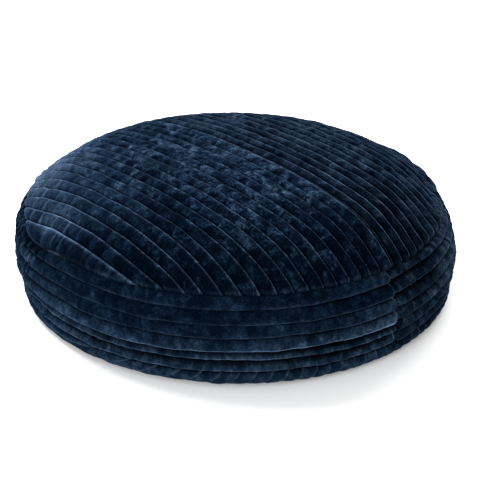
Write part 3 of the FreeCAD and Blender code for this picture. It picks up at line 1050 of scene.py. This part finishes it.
def plush(name, tone):
    """Navy plush cord: painted shade deep between the wales, with pale patches partly
    where the pile lies over and partly painted light.
    """
    material, tree, surface = shader(
        name, 0.85, 0.0, sheen=SHEEN[0], sheen_roughness=SHEEN[1], tint=SHEEN_TINT
    )
    cloth = scaled_cloth(tree, (1, 1, 1))
    across = scaled_cloth(tree, (0.9, 0.8, 1), 0.013)
    nap = noise_at(tree, across, 66, 2.5, 0.55, 0.5)
    broad = noise_at(tree, cloth, 7, 2.0, 0.5)
    fibre = noise_at(tree, cloth, 1400, 2.0, 0.7)
    tuft = noise_at(tree, across, 300, 3.0, 0.7)
    patch = 0.0
    for value, gain in ((nap, 1.15), (broad, 0.5), (tuft, 0.85)):
        swing = sums(tree, "MULTIPLY", sums(tree, "SUBTRACT", value, 0.5), gain)
        patch = sums(tree, "ADD", swing, patch)
    patch = sums(tree, "ADD", sums(tree, "MULTIPLY", patch, stored(tree, "mottle")), 0.5)
    patch = sums(tree, "ADD", patch, stored(tree, "wear_and_light"))
    stops = [(at, tuple(c * tone for c in shade)) for at, shade in PILE_COLOURS]
    colour = ramp(tree, patch, stops)
    shade = ramp(tree, stored(tree, "rise"), PILE_SHADE)
    colour = mixed(tree, 1.0, colour, shade, "MULTIPLY")
    # The painted sheen highlight: its colour times the mesh's tip value, added to the pile's colour.
    glint = ramp(tree, patch, [(0.3, SHEEN_LINE_DARK), (0.75, SHEEN_LINE_LIGHT)])
    glint = mixed(tree, 1.0, glint, stored(tree, "tip", "Color"), "MULTIPLY")
    colour = mixed(tree, 1.0, colour, glint, "ADD")
    tree.links.new(colour, surface.inputs["Base Color"])
    rough = ramp(tree, patch, [(0.3, (0.72,) * 3), (0.75, (0.95,) * 3)])
    tree.links.new(rough, surface.inputs["Roughness"])
    fine = sums(tree, "MULTIPLY", fibre, 0.35)
    pile = sums(tree, "ADD", fine, sums(tree, "MULTIPLY", tuft, 0.8))
    pile = sums(tree, "ADD", pile, nap)
    bumped(tree, surface, pile, 0.55, 0.0016)
    return material


def paint(tree, surface, value, stops):
    """Colours a material by a value."""
    tree.links.new(ramp(tree, value, stops), surface.inputs["Base Color"])


def roughen(tree, surface, value, low, high):
    """Lets a value between 0.3 and 0.7 move the roughness from low to high."""
    made = ramp(tree, value, [(0.3, (low,) * 3), (0.7, (high,) * 3)])
    tree.links.new(made, surface.inputs["Roughness"])


def woven(name, colour, second, scale, roughness, sheen):
    """A plain woven cloth or tape: two crossed waves of threads."""
    material, tree, surface = shader(name, roughness, 0.3, sheen=sheen, sheen_roughness=0.4)
    place_at = node(tree, "ShaderNodeTexCoord").outputs["Object"]
    first = node(tree, "ShaderNodeTexWave", bands_direction="X")
    other = node(tree, "ShaderNodeTexWave", bands_direction="Z")
    for wave in (first, other):
        set_inputs(wave, Scale=scale, Distortion=0.6)
        tree.links.new(place_at, wave.inputs["Vector"])
    weave = sums(tree, "MULTIPLY", first.outputs["Fac"], other.outputs["Fac"])
    tone = noise_at(tree, place_at, 40, 3.0, 0.6)
    half = sums(tree, "MULTIPLY", weave, 0.5)
    shade = sums(tree, "ADD", half, sums(tree, "MULTIPLY", tone, 0.5))
    paint(tree, surface, shade, [(0.2, second), (0.75, colour)])
    roughen(tree, surface, tone, roughness - 0.1, roughness)
    bumped(tree, surface, weave, 0.5, 0.0004)
    return material


def metal(name, colour, roughness):
    """Cast zip metal, faintly pitted and rubbed."""
    material, tree, surface = shader(name, roughness, 0.5, metallic=1.0)
    place_at = node(tree, "ShaderNodeTexCoord").outputs["Object"]
    pits = noise_at(tree, place_at, 900, 4.0, 0.6)
    rubbed = noise_at(tree, place_at, 160, 3.0, 0.6)
    dark = tuple(c * 0.7 for c in colour)
    paint(tree, surface, rubbed, [(0.35, dark), (0.6, colour)])
    roughen(tree, surface, rubbed, roughness - 0.08, roughness + 0.12)
    bumped(tree, surface, pits, 0.25, 0.0002)
    return material


def thread(name, colour):
    """Spun sewing thread, with a slant twist."""
    material, tree, surface = shader(name, 0.6, 0.3, sheen=0.2, sheen_roughness=0.4)
    cloth = scaled_cloth(tree, (1, 1, 1))
    twist = node(tree, "ShaderNodeTexWave", bands_direction="DIAGONAL")
    set_inputs(twist, Scale=900)
    tree.links.new(cloth, twist.inputs["Vector"])
    dark = tuple(c * 0.6 for c in colour)
    paint(tree, surface, twist.outputs["Fac"], [(0.2, dark), (0.8, colour)])
    bumped(tree, surface, twist.outputs["Fac"], 0.4, 0.0002)
    return material


def dress(thing, material, slot_name, *stands_for):
    """Gives a piece its material, and hides the CAD nodes it stands for. The slot name is not used."""
    thing.data.materials.clear()
    thing.data.materials.append(material)
    if stands_for:
        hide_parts(*stands_for)
    return thing


# ---------------- make the cushion
cover_front = plush("cover_plush_front", 1.0)
# The back half's plush is a darker copy: painted shade for its pile lying the other way.
cover_back_shaded = plush("cover_plush_back_shaded", 0.66)
sewing = thread("seam_thread_navy", (0.010, 0.018, 0.045))
casing_cloth = woven("casing_calico", (0.62, 0.60, 0.55), (0.45, 0.43, 0.39), 260, 0.9, 0.2)
casing_sewing = thread("casing_thread", (0.55, 0.53, 0.50))
fibre_fill = woven("filling_fibre", (0.8, 0.8, 0.78), (0.6, 0.6, 0.58), 90, 0.95, 0.3)
tape_cloth = woven("zip_tape_woven", (0.012, 0.020, 0.045), (0.004, 0.008, 0.02), 420, 0.8, 0.2)
coil_nylon = thread("zip_coil_nylon", (0.014, 0.022, 0.05))
zip_metal = metal("zip_metal_dark", (0.25, 0.26, 0.28), 0.38)
label_cloth = woven("label_satin", (0.50, 0.50, 0.48), (0.38, 0.38, 0.36), 380, 0.5, 0.3)

panels = [
    (top_half("cover_top_front", FRONT_WALES, -1), cover_front, "top_panel_front"),
    (top_half("cover_top_back", BACK_WALES, 1), cover_back_shaded, "top_panel_back"),
    (side_length("cover_side_front", True), cover_front, "side_band_front"),
    (side_length("cover_side_back", False), cover_back_shaded, "side_band_back"),
    (under_half("cover_under_front", -1), cover_front, "bottom_panel_front"),
    (under_half("cover_under_back", 1), cover_back_shaded, "bottom_panel_back"),
]
for panel, material, cad_node in panels:
    dress(panel, material, "cover", cad_node)

seam_sink = lambda turn: seam_depth(turn) + 0.0025
sewn_sweep = 2 * math.pi - (ZIP_TO - ZIP_FROM)
seams = [
    (ring_seam("sewing_top_edge", seam_level, seam_sink), "top_edge_seam"),
    (ring_seam("sewing_bottom_edge", S_BOTTOM, SEAM_RISE, ZIP_TO, sewn_sweep), "bottom_edge_seam"),
    (centre_seam("sewing_top_centre", True), "top_centre_seam"),
    (centre_seam("sewing_under_centre", False), "bottom_centre_seam"),
    (butt_seam("sewing_side_right", 0.0), "side_seam_right"),
    (butt_seam("sewing_side_left", math.pi), "side_seam_left"),
]
for seam, cad_node in seams:
    dress(seam, sewing, "seam_thread", cad_node)

casing = [
    ("inner_casing_top", SHELL_MIDDLE, CASING_TOP_END, "casing_top"),
    ("inner_casing_side", CASING_TOP_END, CASING_LOW_START, "casing_side"),
    ("inner_casing_under", CASING_LOW_START, S_END - SHELL_MIDDLE, "casing_bottom"),
]
for name, first, last, cad_node in casing:
    shell = round_shell(name, first, last, CASING_INSET)
    dress(shell, casing_cloth, "casing_cloth", cad_node)
closing_from, closing_sweep = math.radians(200), math.radians(45)
closing_sink = CASING_INSET - 0.0008
closing = ring_seam(
    "inner_casing_sewing", CASING_LOW_START, closing_sink, closing_from, closing_sweep
)
dress(closing, casing_sewing, "casing_thread", "casing_closing_seam")
fill = round_shell("inner_filling", SHELL_MIDDLE, S_END - SHELL_MIDDLE, CASING_INSET + 0.003)
dress(fill, fibre_fill, "filling", "filling")

dress(coil("zip_coil_teeth_upper", 1), coil_nylon, "zip_coil", "zip_coil_upper")
dress(coil("zip_coil_teeth_lower", -1), coil_nylon, "zip_coil", "zip_coil_lower")

CARRIED = {
    "zip_tape_upper": tape_cloth,
    "zip_tape_lower": tape_cloth,
    "zip_slider": zip_metal,
    "zip_pull": zip_metal,
    "zip_top_stop": zip_metal,
    "zip_bottom_stop": zip_metal,
    "care_label": label_cloth,
}
for name, material in CARRIED.items():
    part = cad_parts[name]
    part.data.materials.clear()
    part.data.materials.append(material)

# ---------------- studio
FLOOR_REACH = 60.0
FLOOR_Z = -0.0006
floor_mesh = bpy.data.meshes.new("studio_floor")
corners = [(FLOOR_REACH * x, FLOOR_REACH * y, FLOOR_Z) for x, y in ((-1, -1), (1, -1), (1, 1), (-1, 1))]
floor_mesh.from_pydata(corners, [], [(0, 1, 2, 3)])
floor = linked("studio_floor", floor_mesh)
floor_material, _, floor_surface = shader("studio_floor", 0.9, 0.0)
set_inputs(floor_surface, Base_Color=(0.93, 0.93, 0.93, 1))
set_inputs(floor_surface, Emission_Color=(1, 1, 1, 1), Emission_Strength=0.1)
floor_mesh.materials.append(floor_material)

CAMERA_AZIMUTH, CAMERA_ELEVATION = 49.25, 27.62
CAMERA_DISTANCE = 2.3206
CAMERA_ROLL = math.radians(0.51)
CAMERA_LENS = 92.5
AIM_UP, AIM_RIGHT = 0.0640, 0.0051


def heading(azimuth, elevation):
    """The direction at an azimuth and elevation in degrees. Azimuth 0 is the front."""
    a, e = math.radians(azimuth), math.radians(elevation)
    return Vector((math.sin(a) * math.cos(e), -math.cos(a) * math.cos(e), math.sin(e)))


back = heading(CAMERA_AZIMUTH, CAMERA_ELEVATION)
right = heading(CAMERA_AZIMUTH + 90, 0)
up = heading(CAMERA_AZIMUTH, CAMERA_ELEVATION + 90)
camera = linked("camera", bpy.data.cameras.new("camera"))
camera.data.lens = CAMERA_LENS
camera.data.sensor_width = 36
camera.location = back * CAMERA_DISTANCE
target = up * AIM_UP + right * AIM_RIGHT
look = (target - camera.location).to_track_quat("-Z", "Y")
camera.rotation_mode = "QUATERNION"
camera.rotation_quaternion = look @ Quaternion(Vector((0, 0, 1)), CAMERA_ROLL)
bpy.context.scene.camera = camera


def softbox(name, azimuth, elevation, distance, size, power):
    """A soft white area light aimed at the middle of the cushion, in degrees and metres."""
    lamp = bpy.data.lights.new(name, "AREA")
    lamp.shape = "DISK"
    lamp.size = size
    lamp.energy = power
    spot = heading(azimuth, elevation)
    holder = linked(name, lamp)
    holder.location = spot * distance + Vector((0, 0, HEIGHT / 2))
    holder.rotation_mode = "QUATERNION"
    holder.rotation_quaternion = (-spot).to_track_quat("-Z", "Y")


# Azimuth, elevation, distance, size and power.
softbox("key_light", -76, 52, 2.6, 1.6, 118)
softbox("rim_light", 199, 38, 3.0, 1.6, 70)
softbox("fill_light", 25, 13, 3.0, 2.4, 54)

world = bpy.data.worlds.new("studio")
bpy.context.scene.world = world
world.use_nodes = True
set_inputs(world.node_tree.nodes["Background"], Color=(1, 1, 1, 1), Strength=0.85)
bpy.context.scene.view_settings.view_transform = "Standard"
